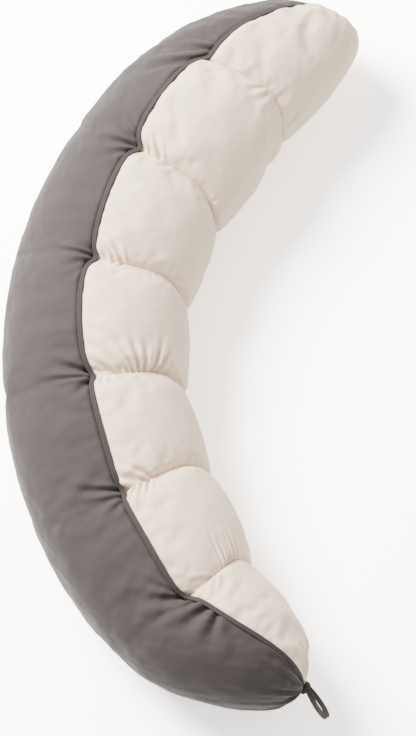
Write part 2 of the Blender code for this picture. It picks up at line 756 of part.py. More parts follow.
def inner_cushion(parent, liner_cloth, beads):
    """The bead bag: a thin liner, gathered to a small mouth at each end, and its filling."""
    turns = [2 * math.pi * j / LINER_SIDES - math.pi for j in range(LINER_SIDES)]
    stations = long_stations(LINER_DEPTH, LINER_END_RADIUS, skip=2)
    rows = [[cover_point(s, top_seam(s) + turn, LINER_DEPTH) for turn in turns] for s in stations]
    cloth_patch("inner_liner", rows, LINER_THICKNESS, liner_cloth, parent, close_around=True)
    rows = [[cover_point(s, top_seam(s) + turn, FILL_DEPTH) for turn in turns] for s in stations[1:-1]]
    sweep("bead_filling", rows, beads, parent)


# ------------------------------------------------------------------ assembly


def centre_on_floor(root):
    """Moves the pillow so that its box is centred over the origin and stands on the floor."""
    bpy.context.view_layer.update()
    graph = bpy.context.evaluated_depsgraph_get()
    corners = []
    for thing in PARTS.objects:
        if thing.type == "MESH":
            seen = thing.evaluated_get(graph)
            mesh = seen.to_mesh()
            corners += [seen.matrix_world @ vertex.co for vertex in mesh.vertices]
            seen.to_mesh_clear()
    low = [min(corner[k] for corner in corners) for k in range(3)]
    high = [max(corner[k] for corner in corners) for k in range(3)]
    root.location = (-(low[0] + high[0]) / 2, -(low[1] + high[1]) / 2, -low[2])
    bpy.context.view_layer.update()


clear_scene()
PARTS = bpy.data.collections.new("nursing_pillow")
CUTTERS = bpy.data.collections.new("cutters")
CUTTERS.hide_render = True
for collection in (PARTS, CUTTERS):
    bpy.context.scene.collection.children.link(collection)

GREY_JERSEY = make_material("grey_jersey", (0.27, 0.23, 0.23), 0.85)
CREAM_JERSEY = make_material("cream_jersey", (0.76, 0.69, 0.62), 0.85)
GREY_WELT = make_material("grey_welt", (0.22, 0.19, 0.19), 0.80)
WELT_CORD = make_material("welt_cord", (0.80, 0.78, 0.74), 0.90)
GREY_TAPE = make_material("grey_tape", (0.10, 0.09, 0.09), 0.80)
ELASTIC = make_material("elastic", (0.85, 0.84, 0.82), 0.80)
LINER_CLOTH = make_material("liner_cloth", (0.88, 0.87, 0.85), 0.85)
BEADS = make_material("beads", (0.93, 0.93, 0.92), 0.70)
NYLON = make_material("nylon", (0.20, 0.18, 0.18), 0.45)
ZIP_METAL = make_material("zip_metal", (0.30, 0.29, 0.29), 0.40, 0.9)
LABEL_CLOTH = make_material("label_cloth", (0.90, 0.90, 0.89), 0.75)

ROOT = add_empty("pillow_root", Vector((0, 0, 0)))
SLIDER_AXIS = add_empty("zip_travel_axis", Vector((0, -ARC_RADIUS, 0)), ROOT)
PULL_AXIS = add_empty(
    "zip_pull_axis", zip_frame(SLIDER_REST) @ Vector((0, 0, -PULL_PIVOT)), SLIDER_AXIS
)
LEFT_AXIS = add_empty("left_loop_axis", loop_pivot(LEFT), ROOT)
RIGHT_AXIS = add_empty("right_loop_axis", loop_pivot(RIGHT), ROOT)

outer_panels(ROOT, GREY_JERSEY)
inner_panels(ROOT, CREAM_JERSEY)
cross_elastics(ROOT, ELASTIC)
welts(ROOT, GREY_WELT, WELT_CORD)
zip_parts(ROOT, SLIDER_AXIS, PULL_AXIS, GREY_TAPE, NYLON, ZIP_METAL)
care_label(ROOT, LABEL_CLOTH)
binding("left_binding", LEFT, ROOT, GREY_TAPE)
binding("right_binding", RIGHT, ROOT, GREY_TAPE)
end_loop("left_loop", LEFT, LEFT_AXIS, GREY_TAPE)
end_loop("right_loop", RIGHT, RIGHT_AXIS, GREY_TAPE)
inner_cushion(ROOT, LINER_CLOTH, BEADS)
centre_on_floor(ROOT)
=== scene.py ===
"""Looks for the crescent nursing pillow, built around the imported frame.

Metres, +Z up. A place on the cover is given by s, the distance along the centre line from its
middle, and an angle around the tube, from straight up towards the outer curve.
"""

import json
import math

import bmesh
import bpy
import numpy as np
from mathutils import Matrix, Vector


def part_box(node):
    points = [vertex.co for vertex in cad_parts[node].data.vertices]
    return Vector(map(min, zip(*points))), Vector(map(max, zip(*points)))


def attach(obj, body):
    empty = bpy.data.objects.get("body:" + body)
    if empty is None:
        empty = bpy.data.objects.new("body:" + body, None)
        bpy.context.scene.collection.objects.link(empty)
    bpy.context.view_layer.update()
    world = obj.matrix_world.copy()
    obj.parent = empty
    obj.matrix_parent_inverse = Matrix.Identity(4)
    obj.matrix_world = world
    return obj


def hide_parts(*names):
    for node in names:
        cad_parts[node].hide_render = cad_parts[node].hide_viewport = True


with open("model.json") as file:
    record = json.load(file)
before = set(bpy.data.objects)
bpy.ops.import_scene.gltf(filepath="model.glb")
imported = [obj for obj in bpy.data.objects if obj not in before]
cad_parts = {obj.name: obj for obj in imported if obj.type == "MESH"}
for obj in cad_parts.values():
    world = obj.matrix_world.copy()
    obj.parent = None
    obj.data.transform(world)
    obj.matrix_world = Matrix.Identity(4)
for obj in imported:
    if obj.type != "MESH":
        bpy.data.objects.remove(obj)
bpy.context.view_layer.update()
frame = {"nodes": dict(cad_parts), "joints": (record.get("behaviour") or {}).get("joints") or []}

LEFT, RIGHT = -1, 1

# ------------------------------------------------------------------ the cover's shape

PILLOW_WIDTH, SECTION_HEIGHT, CENTRE_HEIGHT = 0.270, 0.240, 0.105
INNER_BULGE = 0.075
HALF_SPINE = {LEFT: 0.660, RIGHT: 0.646}
ARC_HALF, ARC_RADIUS, END_RADIUS = 0.270, 0.538, 0.810
WIDTH_TAPER, HEIGHT_TAPER, TAPER_ROUNDNESS = 2.0, 4.7, 1.95
INNER_TAPER = {LEFT: 2.0, RIGHT: 2.95}
END_LEAN = {LEFT: -0.25, RIGHT: 0.87}
END_INSET = {LEFT: 0.042, RIGHT: -0.014}
END_EASE = {LEFT: 0.70, RIGHT: 0.50}
TIP_RADIUS = 0.011
PITCH = 0.179
SEAMS = np.array([(i - 2.5) * PITCH for i in range(6)])
VALLEY_DEPTH, VALLEY_FADE = 0.011, 0.80
VALLEY_SHARE = np.array([1.30, 1.0, 1.0, 1.0, 1.0, 0.85])  # of that depth, at each cross seam
SEAM_LEAN, COVER_ROLL, BOTTOM_BOW = 0.006, 0.288, 0.150
# the upper piping's lean in each segment, from the left end: at its left, middle and right
BOWS = np.array(
    [
        (-0.05, -0.11, -0.05),
        (0.15, 0.08, 0.08),
        (0.07, 0.01, 0.035),
        (0.05, 0.10, 0.125),
        (0.08, 0.10, 0.145),
        (0.16, 0.19, 0.19),
        (0.045, 0.02, -0.28),
    ]
)
CINCH_LEAN = (0.05, 0.02, -0.035, 0.0, 0.01, 0.07)  # and at each cross seam
CINCH_REACH = 0.012
SEAM_SAG, SEAM_SHOULDER = 0.032, 0.006  # the cross seams dip towards the left end, after a shoulder
AROUND = 0.127  # distance over the cover per radian, nearly everywhere

ZIP_ANGLE, ZIP_HALF = 1.920, 0.247
SLOT_HALF, SLOT_CLOSE, SEAM_HALF = 0.0068, 0.012, 0.0007
ZIP_CALM = 0.020  # the cloth lies flat this close to the zip
ZIP_RADIUS, TOOTH_PITCH = 0.66, 0.0016

# ------------------------------------------------------------------ sizes of the folds

FOLD_DEPTH = 1.5  # times the depths in the lists of folds
RISE_MOST, DIP_MOST = 0.0036, 0.0105  # where folds meet
MIRRORED_WITHIN = 0.05  # gathers that start this near one piping are repeated at the other
PLEAT_DEPTH = {LEFT: 0.0030, RIGHT: 0.0008}
CINCH_DEPTH, CINCH_WIDTH = 0.0045, 0.016  # where a cross seam meets a piping
SEAM_TUCK, TUCK_REACH = 0.0052, 0.0048  # the cloth turns in at the piping
CROSS_TUCK, CROSS_REACH = 0.0018, 0.0030  # and at the cross seams
FLAT_RISE = 0.0005  # the most that cloth on the floor lifts off it

SIM_STEP, SIM_AROUND, SIM_FRAMES = 0.0062, 124, 16
SIM_PRESSURE, SIM_SLACK = 3.0, -0.07
SIM_DARK = 0.35  # the dark cloth is pulled smoother
SIM_LEVEL = 0.75  # how much of the even swelling is left out
SIM_MOST = 0.010
SIM = {"field": None}

# ------------------------------------------------------------------ sizes of the pieces

CLOTH_THICKNESS = 0.0012
EDGE_ROOM = 0.0012  # a panel's edge lies this far from the middle of the piping
WELT_SPREAD, WELT_RADIUS, WELT_DEPTH = 0.00185, 0.00185, 0.0012
CORD_RADIUS = 0.0011
ELASTIC_WIDTH, ELASTIC_THICKNESS, ELASTIC_DEPTH = 0.006, 0.001, 0.0035
ELASTIC_ROOM = 0.05  # angle that an elastic leaves free at each piping
LINER_DEPTH, FILLING_DEPTH, LINER_INSET = 0.0110, 0.0130, 0.012
BINDING_ROUND = 0.0076  # distance around a binding per radian, for its weave
# a binding's outline: along the end's axis, and out from it
BINDING_PROFILE = (
    (-0.0105, 0.0078),
    (-0.0098, 0.0093),
    (-0.0070, 0.0102),
    (-0.0042, 0.0098),
    (-0.0028, 0.0092),
    (-0.0014, 0.0098),
    (0.0014, 0.0101),
    (0.0038, 0.0093),
    (0.0054, 0.0083),
    (0.0066, 0.0064),
    (0.0072, 0.0040),
)
LOOP_LENGTH, LOOP_ROOT, LOOP_WIDTH, LOOP_TAPE, LOOP_THICK = 0.044, 0.010, 0.0145, 0.010, 0.0016
LOOP_TILT = {"left": 44.0, "right": 10.0}

SHIFT = np.array(
    [
        sum(corner.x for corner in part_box("inner_panel_4")) / 2,
        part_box("outer_panel_upper")[1].y - PILLOW_WIDTH / 2,
        0.0,
    ]
)


def pick(values, s):
    return np.where(s >= 0, values[RIGHT], values[LEFT])


def ease_in(value, low, high):
    t = np.clip((value - low) / (high - low), 0, 1)
    return t * t * (3 - 2 * t)


def phase(s):
    """0 on a cross seam, 1 half a segment away."""
    return np.clip(np.abs(np.asarray(s)[..., None] - SEAMS).min(-1) / (PITCH / 2), 0, 1)


def top_seam(s):
    s = np.asarray(s, float)
    index = np.clip(np.floor(s / PITCH + 3.5).astype(int), 0, 6)
    low = np.append(-HALF_SPINE[LEFT], SEAMS)[index]
    high = np.append(SEAMS, HALF_SPINE[RIGHT])[index]
    t = np.clip((s - low) / (high - low), 0, 1)
    a, b, c = BOWS[index, 0], BOWS[index, 1], BOWS[index, 2]
    bow = a * (1 - t) * (1 - 2 * t) + 4 * b * t * (1 - t) + c * t * (2 * t - 1)
    for seam, lean in zip(SEAMS, CINCH_LEAN):
        near = np.exp(-np.abs(s - seam) / CINCH_REACH)
        bow = bow * (1 - near) + lean * near
    return SEAM_LEAN + COVER_ROLL * s + bow


def bottom_seam(s):
    to_tip = np.clip((pick(HALF_SPINE, s) - np.abs(s)) / (PITCH / 2), 0, 1)
    return math.pi - SEAM_LEAN + COVER_ROLL * s - BOTTOM_BOW * (1 - (1 - phase(s)) ** 2) * to_tip


def base_cover(s, angle):
    """The cover without its folds."""
    s, angle = np.broadcast_arrays(np.asarray(s, float), np.asarray(angle, float))
    from_seam = np.minimum(angle - top_seam(s), bottom_seam(s) - angle)
    weight = np.where(from_seam <= 0, 1, np.clip(1 - from_seam / VALLEY_FADE, 0, 1) ** 2)
    share = VALLEY_SHARE[np.abs(s[..., None] - SEAMS).argmin(-1)]
    pull = VALLEY_DEPTH * share * (1 - phase(s)) ** 2 * weight
    round_it = (top_seam(s) - angle) / (top_seam(s) - bottom_seam(s) + 2 * math.pi)
    sag = SEAM_SAG * ease_in(round_it, 0.26, 0.54) - SEAM_SHOULDER * ease_in(round_it, 0.0, 0.26)
    sag = sag * ease_in(-round_it, -1.0, -0.70) * (round_it > 0)
    s = s - sag * np.clip((pick(HALF_SPINE, s) - np.abs(s)) / 0.25, 0, 1)
    side = np.where(s >= 0, 1, -1)
    half = pick(HALF_SPINE, s)
    arc = np.minimum(abs(s), ARC_HALF) / ARC_RADIUS
    turn = arc + np.maximum(abs(s) - ARC_HALF, 0) / END_RADIUS
    x = ARC_RADIUS * np.sin(arc) + END_RADIUS * (np.sin(turn) - np.sin(arc))
    y = -ARC_RADIUS * (1 - np.cos(arc)) - END_RADIUS * (np.cos(arc) - np.cos(turn))
    taper = np.clip((abs(s) - ARC_HALF) / (half - ARC_HALF), 0, 1)
    sine = np.sin(angle)
    inner = (1 + INNER_BULGE) * (1 - taper ** pick(INNER_TAPER, s)) ** (1 / TAPER_ROUNDNESS)
    outer = (1 - taper**WIDTH_TAPER) ** (1 / TAPER_ROUNDNESS)
    wide = PILLOW_WIDTH / 2 * np.where(sine < 0, inner, outer)
    tall = SECTION_HEIGHT / 2 * (1 - taper**HEIGHT_TAPER) ** (1 / TAPER_ROUNDNESS)
    wide, tall = np.maximum(wide - pull, 0), np.maximum(tall - pull, 0)
    start = pick(END_EASE, s)
    ease = ease_in(abs(s) / half, start, 1)
    across = wide * sine - pick(END_INSET, s) * ease
    ahead = -side * pick(END_LEAN, s) * ease * wide * sine
    out = np.stack(
        [
            side * (x + np.sin(turn) * across) + np.cos(turn) * ahead,
            y + np.cos(turn) * across - side * np.sin(turn) * ahead,
            CENTRE_HEIGHT + tall * np.cos(angle),
        ],
        -1,
    )
    out[..., 2] = np.maximum(out[..., 2], 0)
    return out + SHIFT


def unit(vectors):
    return vectors / np.maximum(np.linalg.norm(vectors, axis=-1, keepdims=True), 1e-12)


def outward(s, angle, step=0.002, turn=0.02):
    along = base_cover(s + step, angle) - base_cover(s - step, angle)
    around = base_cover(s, angle + turn) - base_cover(s, angle - turn)
    return unit(np.cross(along, around))


# ------------------------------------------------------------------ folds in the cloth


def wobble(u, v, size, seed):
    """Smooth noise of about -1 to 1, with features of this size."""
    total = 0
    random = np.random.default_rng(seed)
    for octave in range(5):
        turn, shift_u, shift_v = random.uniform(0, 6.283, 3)
        k = 6.283 / size * (0.7 + 0.35 * octave)
        total = total + np.sin(k * (u * math.cos(turn) + v * math.sin(turn)) + shift_u) * np.cos(
            k * 0.6 * (v * math.cos(turn) - u * math.sin(turn)) + shift_v
        )
    return total / 2.5


def groove(u, v, start, heading, length, depth, width, bend=0.0):
    """A crease with lips, from a start point, heading so many degrees from +u towards +v."""
    du, dv = u - start[0], v - start[1]
    c, s = math.cos(math.radians(heading)), math.sin(math.radians(heading))
    r = du * c + dv * s
    x = dv * c - du * s - bend * r * np.abs(r) / length
    w = width * (0.55 + 0.9 * np.clip(r / length, 0, 1))
    fade = np.clip(1 - r / length, 0, 1) ** 1.3 * np.clip(r / 0.009 + 0.25, 0, 1)
    return depth * fade * (0.55 * np.exp(-(((np.abs(x) - 1.9 * w) / w) ** 2)) - np.exp(-((x / w) ** 2)))


# folds in the dark panel: cross seam, heading from outwards towards the right end, length, depth,
# width, bend, and how far along the piping it starts
OUTER_FOLDS = [
    (0, 24, 0.085, 0.0070, 0.0070, 0.10, 0.000),
    (0, 44, 0.060, 0.0040, 0.0050, 0.10, 0.010),
    (0, -2, 0.080, 0.0060, 0.0080, 0.00, -0.030),
    (0, -26, 0.075, 0.0065, 0.0075, 0.00, -0.045),
    (0, 10, 0.050, 0.0030, 0.0050, 0.00, -0.012),
    (1, 22, 0.090, 0.0050, 0.0050, 0.00, 0.000),
    (1, 4, 0.055, 0.0030, 0.0050, 0.00, -0.006),
    (1, -28, 0.040, 0.0022, 0.0050, 0.00, -0.010),
    (2, 17, 0.080, 0.0065, 0.0060, 0.00, 0.003),
    (2, 1, 0.100, 0.0035, 0.0035, 0.00, -0.002),
    (2, -35, 0.045, 0.0028, 0.0050, 0.00, -0.006),
    (2, 40, 0.035, 0.0024, 0.0045, 0.00, 0.006),
    (3, -1, 0.095, 0.0045, 0.0038, 0.00, 0.001),
    (3, -24, 0.055, 0.0030, 0.0045, 0.00, -0.006),
    (3, -42, 0.045, 0.0022, 0.0050, 0.00, -0.012),
    (3, 25, 0.040, 0.0022, 0.0050, 0.00, 0.006),
    (4, -20, 0.095, 0.0050, 0.0048, 0.12, 0.002),
    (4, -38, 0.070, 0.0035, 0.0050, 0.00, -0.007),
    (4, 4, 0.060, 0.0040, 0.0055, 0.15, 0.010),
    (4, 28, 0.040, 0.0024, 0.0050, 0.00, 0.016),
    (5, -50, 0.120, 0.0100, 0.0078, 0.10, 0.002),
    (5, -62, 0.090, 0.0035, 0.0050, 0.00, -0.012),
    (5, -22, 0.060, 0.0055, 0.0070, 0.10, 0.016),
    (5, 12, 0.050, 0.0035, 0.0060, 0.00, 0.024),
]

# gathers in the light panels: cross seam, side of it, first and last distance from the upper piping,
# how many, first and last heading (from square to the seam, away from the piping), length, depth, width
INNER_GATHERS = [
    (2, 1, 0.016, 0.050, 5, -66, -44, 0.072, 0.0062, 0.0046),
    (2, 1, 0.058, 0.100, 5, -30, 14, 0.066, 0.0050, 0.0042),
    (2, 1, 0.118, 0.210, 6, 8, -10, 0.028, 0.0012, 0.0036),
    (2, -1, 0.004, 0.024, 3, -40, -10, 0.020, 0.0020, 0.0034),
    (3, 1, 0.006, 0.040, 4, -56, -44, 0.048, 0.0052, 0.0040),
    (3, 1, 0.070, 0.200, 7, -14, 12, 0.024, 0.0008, 0.0040),
    (3, -1, 0.030, 0.044, 2, -76, -64, 0.050, 0.0026, 0.0050),
    (3, -1, 0.080, 0.200, 5, -12, 10, 0.026, 0.0008, 0.0042),
    (4, 1, 0.006, 0.034, 3, -58, -46, 0.046, 0.0050, 0.0042),
    (4, -1, 0.030, 0.050, 2, -80, -66, 0.050, 0.0022, 0.0050),
    (4, 1, 0.110, 0.200, 4, -12, 8, 0.024, 0.0008, 0.0042),
    (5, 1, 0.100, 0.190, 4, -10, 10, 0.030, 0.0008, 0.0052),
    (5, -1, 0.016, 0.036, 2, -84, -72, 0.060, 0.0030, 0.0056),
    (5, -1, 0.100, 0.130, 3, -40, -20, 0.040, 0.0020, 0.0050),
    (1, 1, 0.012, 0.048, 4, -64, -48, 0.056, 0.0058, 0.0043),
    (1, -1, 0.006, 0.042, 4, -50, -36, 0.052, 0.0056, 0.0042),
    (1, 1, 0.090, 0.200, 6, -10, 10, 0.024, 0.0008, 0.0040),
    (0, 1, 0.076, 0.118, 6, -6, 6, 0.056, 0.0026, 0.0026),
    (0, 1, 0.014, 0.050, 2, -80, -74, 0.050, 0.0018, 0.0034),
    (0, -1, 0.020, 0.060, 3, -74, -50, 0.044, 0.0018, 0.0040),
    (0, -1, 0.110, 0.180, 4, -10, 10, 0.028, 0.0010, 0.0044),
]


def mirrored_gathers():
    """The gathers nearest the upper piping, which the lower piping has as well."""
    return [gather for gather in INNER_GATHERS if gather[2] < MIRRORED_WITHIN]


def held_in(rise):
    """Folds that meet don't pile up."""
    return np.where(rise > 0, RISE_MOST * np.tanh(rise / RISE_MOST), DIP_MOST * np.tanh(rise / DIP_MOST))


def outer_folds(s, angle):
    total = 0.0010 * wobble(s, angle * AROUND, 0.090, 4) + 0.0004 * wobble(s, angle * AROUND, 0.035, 5)
    for k, heading, length, depth, width, bend, along in OUTER_FOLDS:
        v = (angle - top_seam(SEAMS[k] + along)) * AROUND
        u = s - SEAMS[k] - along
        total = total + groove(v, u, (0.0, 0.0), heading, length, FOLD_DEPTH * depth, width, bend)
        v = (bottom_seam(SEAMS[k] + along) - angle) * AROUND
        total = total + groove(v, u, (0.0, 0.0), heading * 0.8, length * 0.9, depth, width, bend)
    return held_in(total)


def inner_folds(s, angle):
    total = 0.0009 * wobble(s, angle * AROUND, 0.110, 7) + 0.0003 * wobble(s, angle * AROUND, 0.040, 8)
    for edge, gathers in ((1, INNER_GATHERS), (-1, mirrored_gathers())):
        for k, side, first, last, count, turn_0, turn_1, length, depth, width in gathers:
            if edge > 0:
                v = (top_seam(SEAMS[k]) - angle) * AROUND
            else:
                v = (angle - bottom_seam(SEAMS[k]) + 2 * math.pi) * AROUND
            u = (s - SEAMS[k]) * side
            random = np.random.default_rng(100 * k + 10 * count + side + edge)
            for i in range(count):
                t = i / max(count - 1, 1)
                change = random.uniform(-1, 1, 4)
                fold = groove(
                    u,
                    v,
                    (0.0, first + (last - first) * (t + 0.3 * change[0] / count)),
                    turn_0 + (turn_1 - turn_0) * t + 5 * change[1],
                    length * (1 + 0.25 * change[2]),
                    FOLD_DEPTH * depth * (1 + 0.30 * change[3]),
                    width,
                )
                total = total + np.where(u > -0.001, fold, 0)
    return held_in(total)


def cinch_dip(s, angle):
    """Both long seams are drawn in where a cross seam meets them."""
    total = 0
    for seam in SEAMS:
        for other in (top_seam(seam), bottom_seam(seam), bottom_seam(seam) - 2 * math.pi):
            away = ((s - seam) ** 2 + ((angle - other) * AROUND) ** 2) / CINCH_WIDTH**2
            total = total - CINCH_DEPTH * np.exp(-away)
    return total


def tip_pleats(s, angle):
    """Pleats that run into the two tips."""
    to_tip = pick(HALF_SPINE, s) - np.abs(s)
    reach = np.exp(-np.maximum(to_tip, 0) / 0.030) * np.clip(to_tip / 0.010, 0, 1)
    ripples = np.sin(17 * angle + 2.0 * np.sin(2 * angle + 0.6)) + 0.5 * np.sin(29 * angle + 1.0)
    return pick(PLEAT_DEPTH, s) * reach * ripples


def turn_share(s, angle):
    """Where an angle lies: 0 to 0.5 over the dark cloth, 0.5 to 1 over the light cloth."""
    top, bottom = top_seam(s), bottom_seam(s)
    turn = (angle - top) % (2 * math.pi)
    dark = bottom - top
    return np.where(turn < dark, 0.5 * turn / dark, 0.5 + 0.5 * (turn - dark) / (2 * math.pi - dark))


def angle_at(s, share):
    """The angle that lies this share of the way round."""
    top, bottom = top_seam(s), bottom_seam(s)
    dark = bottom - top
    light = 2 * math.pi - dark
    return np.where(share < 0.5, top + dark * share * 2, bottom + light * (share - 0.5) * 2)


def simulated(s, angle):
    """The simulated cloth's rise, read from its grid."""
    if SIM["field"] is None:
        return 0
    stations, field = SIM["stations"], SIM["field"]
    count = field.shape[1]
    row = np.interp(s, stations, np.arange(len(stations)))
    column = turn_share(s, angle) * count
    i = np.clip(np.floor(row).astype(int), 1, len(stations) - 3)
    j = np.floor(column).astype(int)
    f, g = row - i, column - j
    total = 0
    for di, wi in zip((-1, 0, 1, 2), spline(f)):
        for dj, wj in zip((-1, 0, 1, 2), spline(g)):
            total = total + wi * wj * field[i + di, (j + dj) % count]
    return total


def spline(f):
    """Smooth weights for four neighbours."""
    return (
        (1 - f) ** 3 / 6,
        (3 * f**3 - 6 * f**2 + 4) / 6,
        (-3 * f**3 + 3 * f**2 + 3 * f + 1) / 6,
        f**3 / 6,
    )


def add_cloth(thing):
    cloth = thing.modifiers.new("cloth", "CLOTH")
    values = cloth.settings
    values.vertex_group_mass = "held"
    values.quality = 6
    values.mass = 0.25
    values.tension_stiffness = values.compression_stiffness = 18.0
    values.shear_stiffness = 6.0
    values.bending_stiffness = 0.04
    values.tension_damping = values.compression_damping = values.shear_damping = 12.0
    values.air_damping = 3.0
    values.shrink_min = SIM_SLACK
    values.use_pressure = True
    values.uniform_pressure_force = SIM_PRESSURE
    values.effector_weights.gravity = 0.0
    cloth.point_cache.frame_end = SIM_FRAMES + 2
    cloth.collision_settings.use_collision = False


def simulate():
    """Blow the cover up as a cloth that is held along its seams and is a little too big for them."""
    count = int((tip_station(RIGHT) - tip_station(LEFT)) / SIM_STEP)
    stations = np.linspace(tip_station(LEFT), tip_station(RIGHT), count)
    for seam in SEAMS:
        stations[np.abs(stations - seam).argmin()] = seam
    share = np.arange(SIM_AROUND) / SIM_AROUND
    s = np.repeat(stations[:, None], SIM_AROUND, 1)
    angle = angle_at(s, share)
    rest = base_cover(s, angle)
    faces = grid_faces(count, SIM_AROUND, around=True)
    thing = add_mesh("cloth_rest", rest, close_ends(faces, count, SIM_AROUND))
    held = np.zeros((count, SIM_AROUND))
    held[:, 0] = held[:, SIM_AROUND // 2] = 1
    held[:3] = held[-3:] = 1
    for seam in SEAMS[1:]:
        held[np.abs(stations - seam).argmin(), SIM_AROUND // 2 :] = 1
    held[rest[..., 2] < 0.004] = 1
    group = thing.vertex_groups.new(name="held")
    group.add(np.flatnonzero(held.ravel() > 0.5).tolist(), 1.0, "REPLACE")
    add_cloth(thing)
    scene = bpy.context.scene
    for number in range(1, SIM_FRAMES + 1):
        scene.frame_set(number)
    now = thing.evaluated_get(bpy.context.evaluated_depsgraph_get()).to_mesh()
    moved = np.zeros(count * SIM_AROUND * 3)
    now.vertices.foreach_get("co", moved)
    moved = moved.reshape(count, SIM_AROUND, 3)
    field = ((moved - rest) * outward(s, angle)).sum(-1)
    scene.frame_set(1)
    bpy.data.objects.remove(thing)
    SIM["stations"] = stations
    mean = field.copy()
    for _ in range(60):
        mean[1:-1] = (mean[:-2] + 2 * mean[1:-1] + mean[2:]) / 4
        mean = (np.roll(mean, 1, 1) + 2 * mean + np.roll(mean, -1, 1)) / 4
    field = field - SIM_LEVEL * mean
    field[:, : SIM_AROUND // 2] *= SIM_DARK
    SIM["field"] = np.clip(field, -SIM_MOST, SIM_MOST)


def cover(s, angle, part):
    """The finished cover: part is outer, inner or seam."""
    s, angle = np.broadcast_arrays(np.asarray(s, float), np.asarray(angle, float))
    lift = cinch_dip(s, angle)
    if part != "seam":
        lift = lift + simulated(s, angle) + tip_pleats(s, angle)
    if part == "outer":
        lift = lift + outer_folds(s, angle)
        near_zip = np.exp(-(((angle - ZIP_ANGLE) * AROUND / ZIP_CALM) ** 2))
        lift = lift * (1 - near_zip * np.clip((ZIP_HALF + 0.040 - np.abs(s)) / 0.020, 0, 1))
        to_seam = np.minimum(angle - top_seam(s), bottom_seam(s) - angle) * AROUND
        lift = lift - SEAM_TUCK * np.exp(-((to_seam / TUCK_REACH) ** 2))
    if part == "inner":
        lift = lift + inner_folds(s, angle)
        to_seam = np.minimum(top_seam(s) - angle, angle - bottom_seam(s) + 2 * math.pi) * AROUND
        lift = lift - SEAM_TUCK * np.exp(-((to_seam / TUCK_REACH) ** 2))
        to_cross = np.abs(s[..., None] - SEAMS).min(-1)
        lift = lift - CROSS_TUCK * np.exp(-to_cross / CROSS_REACH)
    rest = base_cover(s, angle)
    points = rest + outward(s, angle) * lift[..., None]
    height = np.maximum(points[..., 2], 0)
    on_floor = rest[..., 2] <= 0.0001
    points[..., 2] = np.where(on_floor, np.minimum(height, FLAT_RISE), height)
    return points


# ------------------------------------------------------------------ mesh helpers


def add_mesh(name, vertices, faces, uv=None):
    mesh = bpy.data.meshes.new(name)
    mesh.from_pydata(np.asarray(vertices, float).reshape(-1, 3).tolist(), [], faces)
    if uv is not None:
        layer = mesh.uv_layers.new(name="cloth")
        loops = np.zeros(len(mesh.loops), np.int32)
        mesh.loops.foreach_get("vertex_index", loops)
        layer.data.foreach_set("uv", np.asarray(uv, np.float32).reshape(-1, 2)[loops].ravel())
    mesh.shade_smooth()
    thing = bpy.data.objects.new(name, mesh)
    bpy.context.scene.collection.objects.link(thing)
    return thing


def grid_faces(rows, columns, around=False):
    faces = []
    for i in range(rows - 1):
        for j in range(columns if around else columns - 1):
            k = (j + 1) % columns
            faces.append((i * columns + j, (i + 1) * columns + j, (i + 1) * columns + k, i * columns + k))
    return faces


def close_ends(faces, rows, columns):
    """Cap both ends of a tube's grid."""
    last = (rows - 1) * columns
    faces.append(tuple(range(columns)))
    faces.append(tuple(last + i for i in reversed(range(columns))))
    return faces


def thicken(thing, thickness):
    solid = thing.modifiers.new("cloth", "SOLIDIFY")
    solid.thickness = thickness
    solid.offset = -1
    solid.use_even_offset = False


def tip_station(side):
    share = 1 - (TIP_RADIUS / (PILLOW_WIDTH / 2)) ** TAPER_ROUNDNESS
    return side * (ARC_HALF + (HALF_SPINE[side] - ARC_HALF) * share ** (1 / WIDTH_TAPER))


def stations_between(low, high, fine, coarse):
    """Stations that are close together near a cross seam or a tip."""
    values = [low]
    while values[-1] < high:
        s = values[-1]
        to_seam = min(np.abs(SEAMS - s).min(), s - tip_station(LEFT), tip_station(RIGHT) - s)
        share = min(max((to_seam - 0.030) / 0.030, 0), 1)
        values.append(s + fine + (coarse - fine) * share)
    values = np.array(values)
    return low + (values - low) * (high - low) / (values[-1] - low)


def surface(name, stations, low, high, count, part):
    """A panel of the cover between two angles."""
    t = np.linspace(0, 1, count)
    t = t - 0.10 * np.sin(2 * math.pi * t) / (2 * math.pi)  # closer together at both edges
    angles = low[:, None] + (high - low)[:, None] * t[None, :]
    s = stations[:, None] * np.ones_like(angles)
    points = cover(s, angles, part)
    uv = np.stack([s, angles * AROUND], -1)
    thing = add_mesh(name, points, grid_faces(len(stations), count), uv)
    thicken(thing, CLOTH_THICKNESS)
    return thing


# ------------------------------------------------------------------ materials


def node_material(name):
    material = bpy.data.materials.new(name)
    material.use_nodes = True
    tree = material.node_tree
    shader = tree.nodes["Principled BSDF"]
    return material, tree, shader


def noise(tree, source, scale, detail=3.0, roughness=0.55):
    node = tree.nodes.new("ShaderNodeTexNoise")
    node.inputs["Scale"].default_value = scale
    node.inputs["Detail"].default_value = detail
    node.inputs["Roughness"].default_value = roughness
    tree.links.new(source, node.inputs["Vector"])
    return node.outputs["Fac"]


def math_node(tree, operation, a, b):
    node = tree.nodes.new("ShaderNodeMath")
    node.operation = operation
    for socket, value in zip(node.inputs, (a, b)):
        if isinstance(value, (int, float)):
            socket.default_value = value
        else:
            tree.links.new(value, socket)
    return node.outputs[0]


